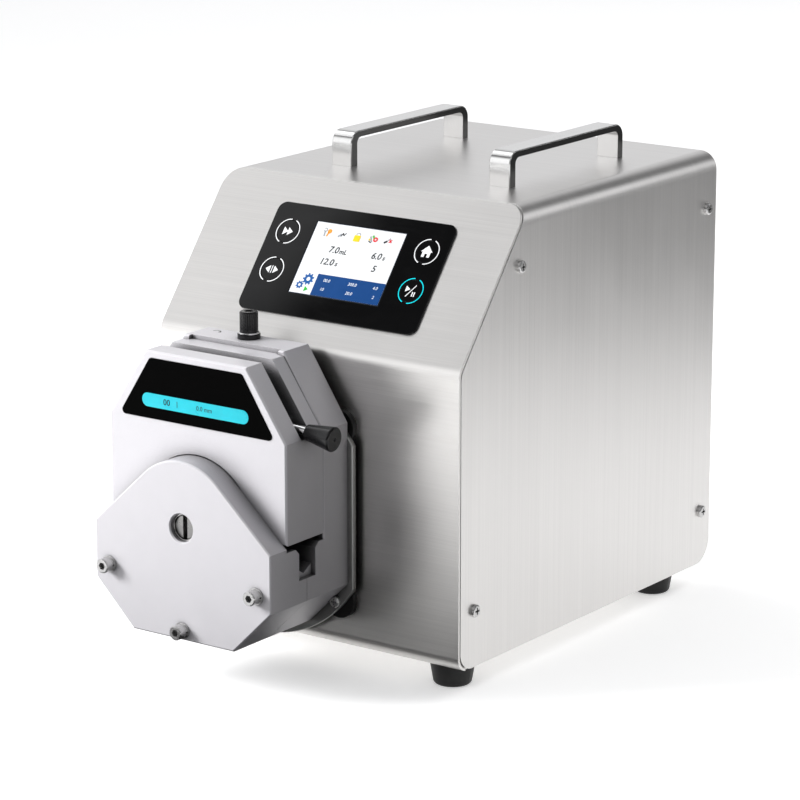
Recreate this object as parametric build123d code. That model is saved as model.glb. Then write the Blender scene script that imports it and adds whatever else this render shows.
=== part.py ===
from build123d import *
import os
from math import acos, atan2, cos, degrees, hypot, radians, sin, tan

# Bench-top peristaltic pump: a stainless drive unit with a lever-operated pump head on its front.
# Working frame: X centred on the casing, Y = 0 at the front face and growing rearwards, Z = 0 under
# the casing. ship() moves the finished pieces to the stored frame: feet on Z = 0, centred in X and Y.

# ---- casing ----
CASE_W = 220.0
CASE_D = 283.0
CASE_H = 267.0
FRONT_H = 180.3          # top of the upright front face
SLANT_Y = 68.4           # where the sloping face meets the top
SHEET = 1.5
SEAM = 0.8               # shadow gap between the front sheet and the cover
TOP_R = 11.5             # bend between side and top
FRONT_BEND_R = 9.0
REAR_BEND_R = 15.0
COVER_CORNER_R = 12.0
FLANGE = 22.0            # depth of the flanges that take the cover screws
GAP = 0.2                # assembly clearance between sheets
HALF_W = CASE_W / 2
INNER_W = HALF_W - SHEET
FOOT_H = 14.0
FOOT_TOP_R = 13.7
FOOT_BOTTOM_R = 11.3
FOOT_X = 92.0
FOOT_Y = (20.3, 243.2)
COVER_SCREWS = ((16.1, 34.8), (61.4, 232.5), (272.0, 34.8), (272.0, 232.5))   # Y, Z on each side

# ---- sloping face with display and keys ----
SLANT_LEN = hypot(SLANT_Y, CASE_H - FRONT_H)
UP_Y = SLANT_Y / SLANT_LEN
UP_Z = (CASE_H - FRONT_H) / SLANT_LEN
SLANT = Plane(origin=(0, 0, FRONT_H), x_dir=(1, 0, 0), z_dir=(0, -UP_Z, UP_Y))
TOP_X = 5.0              # the display and the handles stand this far right of the casing's centre
PANEL_W = 131.0
PANEL_L = 73.2
PANEL_MID = 55.0         # distance up the slope
PANEL_T = 1.2
PANEL_R = 6.0
LCD_W = 65.8
LCD_L = 48.6
LCD_MID = 57.5
LCD_T = 4.0
KEY_X = 51.2
KEY_ROWS = (46.0, 72.1)
KEY_R = 7.4
KEY_TRAVEL = 0.5
BOARD_H = -9.0           # display board's front face, below the sloping face
STUD_X = 37.5

# ---- carrying handles ----
HANDLE_X = 58.5
HANDLE_W = 15.0
HANDLE_Y = (108.0, 234.0)
HANDLE_H = 21.5
HANDLE_LEG = 6.0
HANDLE_TOP = 4.0
HANDLE_R = 8.0

# ---- pump head ----
HEAD_X = -30.2
AXIS_Z = 84.0            # rotor axis
HEAD_HW = 65.6
HEAD_TOP_HW = 37.2
HEAD_FOOT_HW = 37.7
HEAD_BOTTOM_Z = 15.8
HEAD_SIDE_Z = 43.3
HEAD_LEDGE_Z = 76.7      # top of the two lower halves beside the rotor
PLATE_SHOULDER_Z = 78.7
PLATE_ARC_R = 40.5
BLOCK_BOTTOM_Z = 80.6
BLOCK_SIDE_Z = 141.0
BLOCK_TOP_Z = 182.8
REAR_TOP_Z = 185.3
FACE_Y = -81.4           # front of the front housing
BLOCK_Y = -65.9          # front of the press block
SEAM_Y = -47.0           # joint between the two lower halves
SEAM_GAP = 0.12          # half the gap at that joint
BLOCK_BACK_Y = -30.9
REAR_Y = -30.6
BACK_Y = -7.0            # back of the rear housing
CAVITY_R = 37.5
EYE_R = 8.35             # hole in front of the rotor shaft
BED_R = 41.0
SLOT_Y = (-54.3, -38.6)  # tube slot in both sides
SLOT_Z = 57.0
EDGE = 0.8

# ---- rotor ----
SHAFT_R = 7.5
DISC_R = 34.0
DISC_T = 4.0
DISC_Y = (-71.0, -30.2)  # front faces of the two rotor discs
RECESS_R = 36.0
ORBIT_R = 24.0
ROLLER_R = 11.0
ROLLER_Y = (-66.7, -30.5)
ROLLER_PIN_R = 3.0
ROLLERS = 3
HUB_R = 12.0
RUN = 0.05               # radial running clearance
FIT = 0.02               # radial clearance of a fixed fit

# ---- lever and cam ----
PIVOT_Z = 150.0
LEVER_DROP = 4.5         # degrees below level at rest
LEVER_SLOT_Y = (-51.5, -41.2)
CAM_R = 15.0
CAM_SHAFT_R = 6.0
CAM_PIN_R = 4.0
CAM_THROW = 9.0          # the block rises by twice this
ROD_R = 3.0
GRIP_START = 67.0
GRIP_LEN = 19.0

# ---- mounting of the head ----
MOUNT_R = 82.0
MOUNT_HW = 69.2
MOUNT_Y = (-7.0, -4.0)
MOUNT_HOLES = (56.5, 53.0)
ISOLATOR_R = 11.0

KNOB_Y = -15.5
GUIDE_X = 53.0
GUIDE_Y = -34.7
GUIDE_R = 2.5
CAP_SCREWS = ((-55.0, 53.0), (55.0, 53.0), (0.0, 21.8))

# ---- rear panel ----
INLET_AT = (-62.0, 60.0)
SWITCH_AT = (-62.0, 98.0)
INLET_SCREW_X = 20.0
CONNECTOR_AT = (55.0, 62.0)
REAR_REACH = 6.0         # how far the rear fittings stand out
ROCKER_REST = -8.0       # degrees, right side down
ROCKER_Y = CASE_D - 3.0  # pivot of the mains rocker

HEAD_REACH = 7.3         # cap screw head and washers in front of FACE_Y
MID_Y = (FACE_Y - HEAD_REACH + CASE_D + REAR_REACH) / 2

os.makedirs("parts", exist_ok=True)


# ---- small helpers ----

def group(pieces):
    """One node made of separate solids."""
    return Compound([solid for piece in pieces for solid in piece.solids()])


def box(x, y, z):
    """Box from three (low, high) pairs."""
    size = [hi - lo for lo, hi in (x, y, z)]
    mid = [(hi + lo) / 2 for lo, hi in (x, y, z)]
    return Pos(*mid) * Box(*size)


def rod_y(x, z, r, y0, y1):
    return Pos(x, (y0 + y1) / 2, z) * Rot(90, 0, 0) * Cylinder(r, y1 - y0)


def rod_z(x, y, r, z0, z1):
    return Pos(x, y, (z0 + z1) / 2) * Cylinder(r, z1 - z0)


def rod_x(y, z, r, x0, x1):
    return Pos((x0 + x1) / 2, y, z) * Rot(0, 90, 0) * Cylinder(r, x1 - x0)


def polygon(points):
    return make_face(Polyline(*points, close=True))


def prism_y(face, y0, y1):
    """Face drawn in X and Z, from y0 to y1."""
    return Pos(0, y1, 0) * extrude(Plane.XZ * face, amount=y1 - y0)


def prism_x(face, x0, x1):
    """Face drawn in Y and Z, from x0 to x1."""
    return Pos(x0, 0, 0) * extrude(Plane.YZ * face, amount=x1 - x0)


def mirror_x(shape):
    return mirror(shape, about=Plane.YZ)


def on_slope(x, up, height=0.0):
    """A place on the sloping face, height above it."""
    return SLANT.location * Pos(x, up, height)


def socket_head(r, height, hex_af, depth):
    """Screw head standing on Z = 0 and pointing up, with a hexagon socket."""
    head = Pos(0, 0, height / 2) * Cylinder(r, height)
    head = chamfer(head.edges().sort_by(Axis.Z)[-1], 0.5)
    cut = extrude(RegularPolygon(hex_af / 2, 6, major_radius=False), amount=depth)
    return head - Pos(0, 0, height - depth) * cut


def pan_head(r, height, cross):
    """Cross-recess pan head standing on Z = 0 and pointing up."""
    head = Pos(0, 0, height / 2) * Cylinder(r, height)
    head = fillet(head.edges().sort_by(Axis.Z)[-1], height * 0.55)
    for turn in (0, 90):
        head -= Rot(0, 0, turn) * Pos(0, 0, height) * Box(cross, cross / 4, height)
    return head


def pan_screw(r, height, shank_r, length):
    return pan_head(r, height, r * 1.1) + Pos(0, 0, -length / 2) * Cylinder(shank_r, length)


def slope_line(inset):
    """Bend point and top point of the front sheet, inset along its inner normal."""
    base_y = inset * UP_Z
    base_z = FRONT_H - inset * UP_Y
    bend_z = base_z + (inset - base_y) * UP_Z / UP_Y
    top_y = base_y + (CASE_H - base_z) * UP_Y / UP_Z
    return bend_z, top_y


def side_face(inset, floor, front_r, rear=CASE_D, rear_r=REAR_BEND_R):
    """Side outline of the casing in Y and Z, moved inwards at the front by inset and up by floor."""
    bend_z, top_y = slope_line(inset)
    points = [(inset, floor), (inset, bend_z), (top_y, CASE_H), (rear, CASE_H), (rear, floor)]
    face = polygon(points)
    corners = face.vertices()
    face = fillet([v for v in corners if v.X < 30 and v.Y < 30], front_r)
    face = fillet([v for v in face.vertices() if abs(v.X - inset) < 1 and abs(v.Y - bend_z) < 1], 10)
    return fillet([v for v in face.vertices() if v.X > rear - 1 and v.Y < 30], rear_r)


def front_outline(half_w, top, top_r):
    """Front outline of the casing in X and Z with rounded top corners."""
    face = polygon([(-half_w, -1), (half_w, -1), (half_w, top), (-half_w, top)])
    return fillet([v for v in face.vertices() if v.Y > 1], top_r)


# ---- casing ----

def slope_hole(w, length, x, up, r):
    hole = extrude(RectangleRounded(w, length, r), amount=10, both=True)
    return on_slope(x, up) * hole


def make_front_panel():
    """One folded sheet: sloping face, upright front and base, with side flanges for the screws."""
    band = side_face(0, 0, FRONT_BEND_R) - side_face(SHEET, SHEET, FRONT_BEND_R - SHEET)
    sheet = prism_x(band, -HALF_W, HALF_W)
    sheet &= prism_y(front_outline(HALF_W, CASE_H, TOP_R), -5, CASE_D)
    edge = INNER_W - GAP
    for side in (-1, 1):
        outside = sorted((side * edge, side * (HALF_W + 1)))
        sheet -= box(outside, (7.5, CASE_D + 1), (-1, 5))
    sheet -= box((-HALF_W, HALF_W), (CASE_D - REAR_BEND_R - 1, CASE_D + 1), (-1, 30))
    flange = side_face(SHEET - 0.1, SHEET - 0.1, FRONT_BEND_R) - side_face(SHEET + FLANGE, SHEET + FLANGE, 5)
    strip = prism_x(flange, edge - SHEET, edge)
    strip &= box((0, HALF_W), (0, 74), (SHEET - 0.1, CASE_H - TOP_R))
    strip -= box((0, HALF_W), (30, 74), (0, 100))
    sheet += strip + mirror_x(strip)
    sheet -= slope_hole(PANEL_W - 10, PANEL_L - 10, TOP_X, PANEL_MID, 4)
    sheet -= rod_y(HEAD_X, AXIS_Z, 14, -5, 10)
    for x, z in mount_points():
        sheet -= rod_y(HEAD_X + x, z, 2.3, -5, 10)
    for y, z in COVER_SCREWS[:2]:
        sheet -= rod_x(y, z, 2.05, -HALF_W, HALF_W)
    for x, y in foot_points():
        sheet -= rod_z(x, y, 2.1, -1, 5)
    return sheet


def make_cover():
    """Inverted U sheet: both sides and the top."""
    shell = front_outline(HALF_W, CASE_H, TOP_R) - front_outline(INNER_W, CASE_H - SHEET, TOP_R - SHEET)
    cover = prism_y(shell, -5, CASE_D)
    cover &= prism_x(side_face(SHEET + SEAM, 0, COVER_CORNER_R), -HALF_W - 1, HALF_W + 1)
    for y, z in COVER_SCREWS:
        cover -= rod_x(y, z, 2.3, -HALF_W - 1, HALF_W + 1)
    for x, y in handle_points():
        cover -= rod_z(x, y, 2.6, CASE_H - 5, CASE_H + 1)
    return cover


def make_rear_panel():
    """Rear sheet with a rolled lower edge, side flanges, cut-outs and vent slots."""
    low = 200
    band = side_face(0, 0, 9) - side_face(0, SHEET, 9, CASE_D - SHEET, REAR_BEND_R - SHEET)
    edge = INNER_W - GAP
    panel = prism_x(band, -edge, edge)
    panel &= box((-edge, edge), (CASE_D - REAR_BEND_R, CASE_D + 1), (-1, CASE_H))
    panel &= prism_y(front_outline(edge, CASE_H - SHEET - GAP, TOP_R - SHEET), low, CASE_D + 1)
    flange = (CASE_D - SHEET - FLANGE + 2, CASE_D - SHEET + 0.1)
    for side in (-1, 1):
        strip = box(sorted((side * edge, side * (edge - SHEET))), flange, (16, CASE_H - 20))
        panel += strip
    for y, z in COVER_SCREWS[2:]:
        panel -= rod_x(y, z, 2.05, -HALF_W, HALF_W)
    for (x, z), (w, h) in ((INLET_AT, (27.6, 20.6)), (SWITCH_AT, (27.6, 19.6)), (CONNECTOR_AT, (26.6, 10.6))):
        panel -= box((x - w / 2, x + w / 2), (low, CASE_D + 1), (z - h / 2, z + h / 2))
    for side in (-1, 1):
        panel -= rod_y(INLET_AT[0] + side * INLET_SCREW_X, INLET_AT[1], 1.7, CASE_D - 5, CASE_D + 1)
    for row in range(7):
        for column in (-1, 1):
            x = column * 34
            z = 165 + row * 9
            slot = prism_y(Pos(x, z) * SlotOverall(52, 3.4), CASE_D - 5, CASE_D + 1)
            panel -= slot
    return panel


def foot_points():
    return [(side * FOOT_X, y) for y in FOOT_Y for side in (-1, 1)]


def handle_points():
    mids = (HANDLE_Y[0] + HANDLE_LEG / 2, HANDLE_Y[1] - HANDLE_LEG / 2)
    return [(TOP_X + side * HANDLE_X, y) for side in (-1, 1) for y in mids]


def make_feet():
    """Tapered rubber feet with a counterbore for their screws."""
    feet = []
    foot = Pos(0, 0, -FOOT_H / 2) * Cone(FOOT_BOTTOM_R, FOOT_TOP_R, FOOT_H)
    foot = fillet(foot.edges().sort_by(Axis.Z)[0], 2.6)
    foot -= Pos(0, 0, -FOOT_H / 2) * Cylinder(2.2, FOOT_H + 1)
    foot -= Pos(0, 0, -FOOT_H + 4) * Cylinder(4.4, 8.01)
    for x, y in foot_points():
        feet.append(Pos(x, y, 0) * foot)
    return group(feet)


def make_foot_screws():
    screw = Pos(0, 0, -FOOT_H + 7.9) * Rot(180, 0, 0) * pan_screw(3.8, 2.6, 2.0, 11)
    return group([Pos(x, y, 0) * screw for x, y in foot_points()])


def make_cover_screws():
    screws = []
    for y, z in COVER_SCREWS:
        for side in (-1, 1):
            screw = Rot(0, 90 * side, 0) * pan_screw(3.9, 2.4, 2.0, 6)
            screws.append(Pos(side * HALF_W, y, z) * screw)
    return group(screws)


def make_handle(side):
    """Flat bar handle with rounded corners, tapped in both legs."""
    outer = box((-HANDLE_W / 2, HANDLE_W / 2), HANDLE_Y, (CASE_H, CASE_H + HANDLE_H))
    ends = outer.edges().filter_by(Axis.X).sort_by(Axis.Z)[-2:]
    outer = fillet(ends, HANDLE_R)
    gap_y = (HANDLE_Y[0] + HANDLE_LEG, HANDLE_Y[1] - HANDLE_LEG)
    gap = box((-HANDLE_W, HANDLE_W), gap_y, (CASE_H - 9, CASE_H + HANDLE_H - HANDLE_TOP))
    gap = fillet(gap.edges().filter_by(Axis.X).sort_by(Axis.Z)[-2:], HANDLE_R - HANDLE_TOP)
    handle = outer - gap
    handle = chamfer(handle.edges().filter_by(Axis.Y).sort_by(Axis.Z)[-2:], 0.5)
    handle = Pos(TOP_X + side * HANDLE_X, 0, 0) * handle
    for x, y in handle_points():
        handle -= rod_z(x, y, 2.0, CASE_H - 1, CASE_H + 12)
    return handle


def make_handle_screws():
    screw = Rot(180, 0, 0) * pan_screw(4.2, 2.6, 1.95, 11)
    return group([Pos(x, y, CASE_H - SHEET) * screw for x, y in handle_points()])


# ---- display and keys ----

def key_points():
    return {
        "key_fast": (TOP_X - KEY_X, KEY_ROWS[1]),
        "key_direction": (TOP_X - KEY_X, KEY_ROWS[0]),
        "key_home": (TOP_X + KEY_X, KEY_ROWS[1]),
        "key_start": (TOP_X + KEY_X, KEY_ROWS[0]),
    }


def make_display_panel():
    """Gloss overlay on the sloping face, with a window for the screen and holes for the keys."""
    panel = extrude(RectangleRounded(PANEL_W, PANEL_L, PANEL_R), amount=PANEL_T)
    top = panel.faces().sort_by(Axis.Z)[-1].outer_wire().edges()
    panel = on_slope(TOP_X, PANEL_MID) * chamfer(top, 0.3)
    window = extrude(Rectangle(LCD_W + 0.4, LCD_L + 0.4), amount=5, both=True)
    panel -= on_slope(TOP_X, LCD_MID) * window
    for x, up in key_points().values():
        panel -= on_slope(x, up) * Cylinder(KEY_R + 0.3, 5)
    return panel


def make_lcd():
    return on_slope(TOP_X, LCD_MID, PANEL_T - 0.1 - LCD_T / 2) * Box(LCD_W, LCD_L, LCD_T)


def make_key(x, up):
    """Flat key cap on a short plunger."""
    cap = Pos(0, 0, PANEL_T - 1.0) * Cylinder(KEY_R, 2.0)
    cap = chamfer(cap.edges().sort_by(Axis.Z)[-1], 0.2)
    plunger_top = PANEL_T - 2.0
    plunger_bottom = BOARD_H + 2.2 + KEY_TRAVEL + 0.2
    plunger = Pos(0, 0, (plunger_top + plunger_bottom) / 2) * Cylinder(2.5, plunger_top - plunger_bottom)
    return on_slope(x, up) * (cap + plunger)


def make_display_board():
    """Circuit board behind the display, with a switch under each key."""
    board = on_slope(TOP_X, PANEL_MID, BOARD_H - 0.8) * Box(PANEL_W - 16, PANEL_L - 10, 1.6)
    board += on_slope(TOP_X, LCD_MID, BOARD_H + 2.9) * Box(LCD_W - 6, LCD_L - 6, 5.8)
    for x, up in key_points().values():
        board += on_slope(x, up, BOARD_H + 1.1) * Box(6, 6, 2.2)
    return board


def make_display_studs():
    """Spacers between the overlay and the display board."""
    studs = []
    for side in (-1, 1):
        for end in (-1, 1):
            x = TOP_X + side * STUD_X
            up = PANEL_MID + end * 27.5
            length = -BOARD_H
            studs.append(on_slope(x, up, -length / 2) * Cylinder(2.5, length))
    return group(studs)


# ---- pump head: fixed pieces ----

def mount_points():
    dx, dz = MOUNT_HOLES
    return [(sx * dx, AXIS_Z + sz * dz) for sx in (-1, 1) for sz in (-1, 1)]


def front_plate_face():
    """Outline of the front housing: a round nose joined by tangents to the shoulders."""
    rise = PLATE_SHOULDER_Z - AXIS_Z
    reach = hypot(HEAD_HW, rise)
    turn = atan2(rise, HEAD_HW) + acos(PLATE_ARC_R / reach)
    touch = (PLATE_ARC_R * cos(turn), AXIS_Z + PLATE_ARC_R * sin(turn))
    nose = ThreePointArc(touch, (0, AXIS_Z + PLATE_ARC_R), (-touch[0], touch[1]))
    rest = Polyline(
        (-touch[0], touch[1]),
        (-HEAD_HW, PLATE_SHOULDER_Z),
        (-HEAD_HW, HEAD_SIDE_Z),
        (-HEAD_FOOT_HW, HEAD_BOTTOM_Z),
        (HEAD_FOOT_HW, HEAD_BOTTOM_Z),
        (HEAD_HW, HEAD_SIDE_Z),
        (HEAD_HW, PLATE_SHOULDER_Z),
        touch,
    )
    return make_face([nose, rest])


def lower_face(top):
    """Outline of the lower halves beside the rotor."""
    return polygon([
        (-HEAD_HW, top),
        (-HEAD_HW, HEAD_SIDE_Z),
        (-HEAD_FOOT_HW, HEAD_BOTTOM_Z),
        (HEAD_FOOT_HW, HEAD_BOTTOM_Z),
        (HEAD_HW, HEAD_SIDE_Z),
        (HEAD_HW, top),
    ])


def tube_slot():
    """The tube's way through both sides: a slot with bevelled lips."""
    lip = 3.2
    face = polygon([
        (SLOT_Y[0], SLOT_Z),
        (SLOT_Y[0], HEAD_LEDGE_Z - lip),
        (SLOT_Y[0] - lip, HEAD_LEDGE_Z),
        (SLOT_Y[0] - lip, HEAD_LEDGE_Z + 1),
        (SLOT_Y[1] + lip, HEAD_LEDGE_Z + 1),
        (SLOT_Y[1] + lip, HEAD_LEDGE_Z),
        (SLOT_Y[1], HEAD_LEDGE_Z - lip),
        (SLOT_Y[1], SLOT_Z),
    ])
    return prism_x(face, -HEAD_HW - 1, HEAD_HW + 1)


def make_front_housing():
    """Front plate with the lower front half behind it."""
    plate = prism_y(front_plate_face(), FACE_Y, BLOCK_Y - 0.15)
    rim = plate.faces().sort_by(Axis.Y)[0].outer_wire().edges()
    plate = chamfer(rim, EDGE)
    lower = prism_y(lower_face(HEAD_LEDGE_Z), BLOCK_Y - 0.2, SEAM_Y - SEAM_GAP)
    housing = plate + lower
    housing -= rod_y(0, AXIS_Z, CAVITY_R, BLOCK_Y - 0.15, SEAM_Y + 1)
    housing -= rod_y(0, AXIS_Z, RECESS_R, DISC_Y[0] - 0.6, BLOCK_Y)
    housing -= rod_y(0, AXIS_Z, SHAFT_R + 1.5, -76, DISC_Y[0])
    housing -= rod_y(0, AXIS_Z, 12 + FIT, -78.5, -73.3)
    housing -= rod_y(0, AXIS_Z, EYE_R, FACE_Y - 1, -78)
    eye_rim = Pos(0, FACE_Y + EDGE / 2, AXIS_Z) * Rot(90, 0, 0) * Cone(EYE_R, EYE_R + EDGE, EDGE)
    housing -= eye_rim
    housing -= tube_slot()
    for x, z in CAP_SCREWS:
        housing -= rod_y(x, z, 2.65, FACE_Y - 1, SEAM_Y + 1)
    return housing


def rear_face():
    return polygon([
        (-HEAD_TOP_HW, REAR_TOP_Z),
        (-HEAD_HW, BLOCK_SIDE_Z + 1.0),
        (-HEAD_HW, HEAD_SIDE_Z),
        (-HEAD_FOOT_HW, HEAD_BOTTOM_Z),
        (HEAD_FOOT_HW, HEAD_BOTTOM_Z),
        (HEAD_HW, HEAD_SIDE_Z),
        (HEAD_HW, BLOCK_SIDE_Z + 1.0),
        (HEAD_TOP_HW, REAR_TOP_Z),
    ])


def make_rear_housing():
    """Back of the head: full-height plate with the lower rear half in front of it."""
    back = prism_y(rear_face(), REAR_Y, BACK_Y)
    back = chamfer(back.faces().sort_by(Axis.Y)[0].outer_wire().edges(), EDGE)
    lower = prism_y(lower_face(HEAD_LEDGE_Z), SEAM_Y + SEAM_GAP, REAR_Y + 1)
    housing = back + lower
    housing -= rod_y(0, AXIS_Z, CAVITY_R, SEAM_Y - 1, REAR_Y)
    housing -= rod_y(0, AXIS_Z, RECESS_R, REAR_Y - 1, -25.6)
    housing -= rod_y(0, AXIS_Z, SHAFT_R + 2, -26, BACK_Y)
    housing -= rod_y(0, AXIS_Z, 17.5 + FIT, -18.2, BACK_Y + 1)
    housing -= tube_slot()
    swing = CAM_THROW + CAM_PIN_R + 1
    pin_z = PIVOT_Z + CAM_THROW
    housing -= box((-swing, swing), (REAR_Y - 1, -24), (pin_z - 6.6, pin_z + 6.6))
    housing -= box((-33.3, 33.3), (REAR_Y - 1, -27.5), (171.7, REAR_TOP_Z + 1))
    housing -= rod_z(0, KNOB_Y, 3.05, 166, REAR_TOP_Z + 1)
    for x, z in CAP_SCREWS:
        housing -= rod_y(x, z, 2.5, SEAM_Y - 1, -20)
    for side in (-1, 1):
        housing -= rod_z(side * GUIDE_X, GUIDE_Y, GUIDE_R + FIT, 59, HEAD_LEDGE_Z + 1)
    for x, z in flange_points():
        housing -= rod_y(x, z, 2.5, -20, BACK_Y + 1)
    for x, z in mount_points():
        housing -= rod_y(x, z, 4.2, BACK_Y - 2.8, BACK_Y + 1)
    return housing


def flange_points():
    return [(sx * 30.0, AXIS_Z + sz * 30.0) for sx in (-1, 1) for sz in (-1, 1)]


def make_guide_posts():
    posts = [rod_z(side * GUIDE_X, GUIDE_Y, GUIDE_R, 59.1, 118) for side in (-1, 1)]
    return group(posts)


def make_tube_rests():
    """Vee blocks in the bottom of the tube slots."""
    rests = []
    width = (SLOT_Y[0] + 0.3, SLOT_Y[1] - 0.3)
    middle = sum(width) / 2
    face = polygon([
        (width[0], SLOT_Z + 0.1),
        (width[1], SLOT_Z + 0.1),
        (width[1], SLOT_Z + 7.0),
        (middle, SLOT_Z + 2.4),
        (width[0], SLOT_Z + 7.0),
    ])
    rests.append(prism_x(face, CAVITY_R + 3.5, HEAD_HW - 3))
    rests.append(mirror_x(rests[0]))
    return group(rests)


def make_cap_screws():
    """Socket-head screws that hold the two lower halves together."""
    screws = []
    head = socket_head(4.35, 5.0, 4.0, 2.8)
    shank = Pos(0, 0, -28) * Cylinder(2.45, 56)
    screw = Rot(90, 0, 0) * (head + shank)
    for x, z in CAP_SCREWS:
        screws.append(Pos(x, FACE_Y - 2.3, z) * screw)
    return group(screws)


def make_washers():
    """A flat washer and a split spring washer under each cap screw."""
    washers = []
    for x, z in CAP_SCREWS:
        flat = rod_y(x, z, 5.0, FACE_Y - 1.0, FACE_Y) - rod_y(x, z, 2.6, FACE_Y - 2, FACE_Y + 1)
        spring = rod_y(x, z, 4.5, FACE_Y - 2.3, FACE_Y - 1.0) - rod_y(x, z, 2.6, FACE_Y - 3, FACE_Y)
        spring -= box((x, x + 5), (FACE_Y - 3, FACE_Y), (z - 0.5, z + 0.5))
        washers += [flat, spring]
    return group(washers)


def make_mounting_plate():
    """Round flange with two flats behind the head."""
    plate = rod_y(0, AXIS_Z, MOUNT_R, *MOUNT_Y)
    plate &= box((-MOUNT_HW, MOUNT_HW), MOUNT_Y, (0 - MOUNT_R, 300))
    plate = chamfer(plate.faces().sort_by(Axis.Y)[0].outer_wire().edges(), 0.5)
    plate -= rod_y(0, AXIS_Z, 12, -10, 0)
    for x, z in mount_points():
        plate -= rod_y(x, z, 2.3, -10, 0)
    for x, z in flange_points():
        plate -= rod_y(x, z, 2.8, -10, 0)
    return plate


def make_isolators():
    """Round black spacers between the flange and the casing."""
    rings = []
    for x, z in mount_points():
        rings.append(rod_y(x, z, ISOLATOR_R, MOUNT_Y[1], 0) - rod_y(x, z, 2.3, -5, 1))
    return group(rings)


def make_mount_screws():
    """Pan-head screws through flange, spacers, front sheet and motor bracket."""
    screw = Rot(90, 0, 0) * pan_screw(3.6, 2.2, 2.0, 17)
    return group([Pos(x, MOUNT_Y[0], z) * screw for x, z in mount_points()])


def make_flange_screws():
    """Screws from behind the flange into the rear housing."""
    screw = Rot(-90, 0, 0) * pan_screw(4.2, 2.4, 2.45, 13)
    return group([Pos(x, MOUNT_Y[1], z) * screw for x, z in flange_points()])


def bearing_rings(inner):
    """Inner or outer rings of the front and rear shaft bearings."""
    rings = []
    for r, y0, y1 in ((12.0, -78.4, -73.4), (17.5, -18.1, -7.1)):
        middle = (r + SHAFT_R) / 2
        if inner:
            ring = rod_y(0, AXIS_Z, middle - 0.6, y0, y1) - rod_y(0, AXIS_Z, SHAFT_R + FIT, y0 - 1, y1 + 1)
        else:
            ring = rod_y(0, AXIS_Z, r, y0, y1) - rod_y(0, AXIS_Z, middle + 0.6, y0 - 1, y1 + 1)
        rings.append(ring)
    return group(rings)


# ---- pump head: press block, lever and cam ----

def lever_swing():
    """The space that the lever sweeps through the block, in X and Z."""
    drop = radians(LEVER_DROP)
    low = ROD_R + 0.8
    start = (-low * sin(drop), PIVOT_Z - low * cos(drop))
    end = (start[0] + 95 * cos(drop), start[1] - 95 * sin(drop))
    return polygon([
        (0, PIVOT_Z - 5),
        end,
        (95, PIVOT_Z + 95),
        (-95, PIVOT_Z + 95),
        (-end[0], end[1]),
    ])


def make_press_block():
    """Upper block with the tube bed below and the lever slot above."""
    outline = polygon([
        (-HEAD_HW, BLOCK_BOTTOM_Z),
        (-HEAD_HW, BLOCK_SIDE_Z),
        (-HEAD_TOP_HW, BLOCK_TOP_Z),
        (HEAD_TOP_HW, BLOCK_TOP_Z),
        (HEAD_HW, BLOCK_SIDE_Z),
        (HEAD_HW, BLOCK_BOTTOM_Z),
    ])
    block = prism_y(outline, BLOCK_Y, BLOCK_BACK_Y)
    block = chamfer(block.faces().sort_by(Axis.Y)[0].outer_wire().edges(), 1.0)
    block += box((-33, 33), (BLOCK_BACK_Y - 1, -27.8), (172, BLOCK_TOP_Z))
    block -= rod_y(0, AXIS_Z, BED_R, BLOCK_Y - 1, BLOCK_BACK_Y + 1)
    block -= box((-BED_R, BED_R), (BLOCK_Y - 1, BLOCK_BACK_Y + 1), (BLOCK_BOTTOM_Z - 1, AXIS_Z))
    block -= prism_y(lever_swing(), *LEVER_SLOT_Y)
    block -= rod_y(0, PIVOT_Z, CAM_R + 1.5, *LEVER_SLOT_Y)
    block -= rod_y(0, PIVOT_Z, CAM_SHAFT_R + RUN, -63.2, BLOCK_BACK_Y + 1)
    block -= rod_y(0, PIVOT_Z, CAM_R + 0.5, -35.2, BLOCK_BACK_Y + 1)
    for side in (-1, 1):
        block -= rod_z(side * GUIDE_X, GUIDE_Y, GUIDE_R + RUN, BLOCK_BOTTOM_Z - 1, 119)
    return block


def make_label():
    """Dark trapezoid plate on the front of the press block."""
    face = polygon([(-57.6, 142.0), (57.6, 142.0), (34.1, 178.6), (-34.1, 178.6)])
    face = fillet(face.vertices(), 2.5)
    return prism_y(face, BLOCK_Y - 0.5, BLOCK_Y)


def make_label_stripe():
    return prism_y(Pos(-0.5, 153.2) * SlotOverall(79.0, 8.3), BLOCK_Y - 0.65, BLOCK_Y - 0.5)


def make_cam_shaft():
    """Shaft with an eccentric disc and pin that lifts the block."""
    shaft = rod_y(0, PIVOT_Z, CAM_SHAFT_R, -63, -34)
    shaft += rod_y(0, PIVOT_Z, CAM_R, -35, -31)
    shaft += rod_y(0, PIVOT_Z + CAM_THROW, CAM_PIN_R, -32, -24.4)
    return shaft


def along_lever(piece):
    """Turn a piece drawn along +Z from the pivot to the lever's rest direction."""
    return Pos(0, sum(LEVER_SLOT_Y) / 2, PIVOT_Z) * Rot(0, 90 + LEVER_DROP, 0) * piece


def make_lever_arm():
    """Hub on the cam shaft with the bright rod."""
    hub = rod_y(0, PIVOT_Z, CAM_R, LEVER_SLOT_Y[0] + 0.3, LEVER_SLOT_Y[1] - 0.3)
    rod = along_lever(Pos(0, 0, (GRIP_START + 22) / 2) * Cylinder(ROD_R, GRIP_START - 2))
    arm = hub + rod
    return arm - rod_y(0, PIVOT_Z, CAM_SHAFT_R + FIT, -60, -35)


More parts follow.
